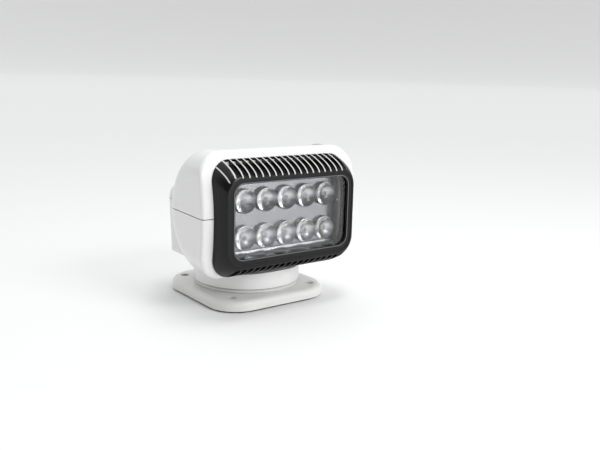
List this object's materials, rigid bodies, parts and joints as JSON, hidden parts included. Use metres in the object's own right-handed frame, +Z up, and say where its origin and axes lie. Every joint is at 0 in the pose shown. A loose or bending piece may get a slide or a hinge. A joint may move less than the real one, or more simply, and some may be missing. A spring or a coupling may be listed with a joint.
{
  "type": "marine searchlight",
  "caption": "Deck-mounted LED searchlight with a square base, a motor-driven turret that pans and a wide louvred lamp head that tilts.",
  "frame": {"origin": "where the pan axis meets the underside of the deck gasket", "axes": "+X to the light's right seen from in front, -Y the way it shines at rest, +Z up along the pan axis"},
  "size_m": [0.2004, 0.1627, 0.1725],
  "materials": {
    "white_housing": "satin white, UV-stable moulded plastic",
    "black_bezel": "glossy black powder coat on a casting",
    "black_aluminium": "black anodised",
    "rubber": "matt",
    "clear_lens": "clear, polished",
    "clear_optic": "clear, polished",
    "reflector": "bright vacuum-metallised",
    "steel": "stainless, brushed",
    "bronze": "sintered bronze",
    "nylon": "natural nylon",
    "circuit_green": "circuit board, green mask",
    "circuit_white": "circuit board, white mask"
  },
  "bodies": {
    "base": {"base_plate": "white_housing", "deck_gasket": "rubber", "pan_ring_gear": "nylon", "spindle": "steel", "spindle_washer": "steel", "spindle_nut": "steel", "thrust_washer": "nylon", "neck_seal": "rubber", "cable_grommet": "rubber"},
    "turret": {"turret_lower": "white_housing", "turret_cover": "white_housing", "cover_screw_left": "steel", "cover_screw_right": "steel", "pan_bush": "bronze", "pan_gearbox": "steel", "pan_motor": "steel", "tilt_gearbox": "steel", "tilt_motor": "steel", "tilt_bush_left": "bronze", "tilt_bush_right": "bronze", "control_board": "circuit_green"},
    "pan_pinion": {"pan_pinion": "steel"},
    "tilt_pinion": {"tilt_pinion": "steel"},
    "head": {"upper_shell": "white_housing", "lower_shell": "white_housing", "shell_screw_left": "steel", "shell_screw_right": "steel", "bezel": "black_bezel", "bezel_screw_lower_left": "steel", "bezel_screw_upper_left": "steel", "bezel_screw_lower_right": "steel", "bezel_screw_upper_right": "steel", "lens_gasket": "rubber", "lens": "clear_lens", "reflector_plate": "reflector", "optic_1": "clear_optic", "optic_2": "clear_optic", "optic_3": "clear_optic", "optic_4": "clear_optic", "optic_5": "clear_optic", "optic_6": "clear_optic", "optic_7": "clear_optic", "optic_8": "clear_optic", "optic_9": "clear_optic", "optic_10": "clear_optic", "led_board": "circuit_white", "heat_spreader": "black_aluminium", "tilt_shaft": "steel", "tilt_gear": "steel", "hub_clamp_left": "black_aluminium", "hub_clamp_right": "black_aluminium"}
  },
  "joints": [
    {"name": "pan", "type": "hinge", "parent": "base", "child": "turret", "pos_m": [0, 0, 0.018], "axis": [0, 0, 1], "range_deg": [-185, 185]},
    {"name": "tilt", "type": "hinge", "parent": "turret", "child": "head", "pos_m": [0, -0.045, 0.1065], "axis": [-1, 0, 0], "range_deg": [-45, 75]},
    {"name": "pan_pinion_spin", "type": "hinge", "parent": "turret", "child": "pan_pinion", "pos_m": [0, 0.036, 0.01], "axis": [0, 0, 1], "range_deg": [-925, 925]},
    {"name": "tilt_pinion_spin", "type": "hinge", "parent": "turret", "child": "tilt_pinion", "pos_m": [-0.027, -0.026, 0.1065], "axis": [-1, 0, 0], "range_deg": [-162.5, 97.5]}
  ],
  "couplings": [
    {"joint": "pan_pinion_spin", "follows": "pan", "ratio": -5},
    {"joint": "tilt_pinion_spin", "follows": "tilt", "ratio": -2.1667}
  ]
}
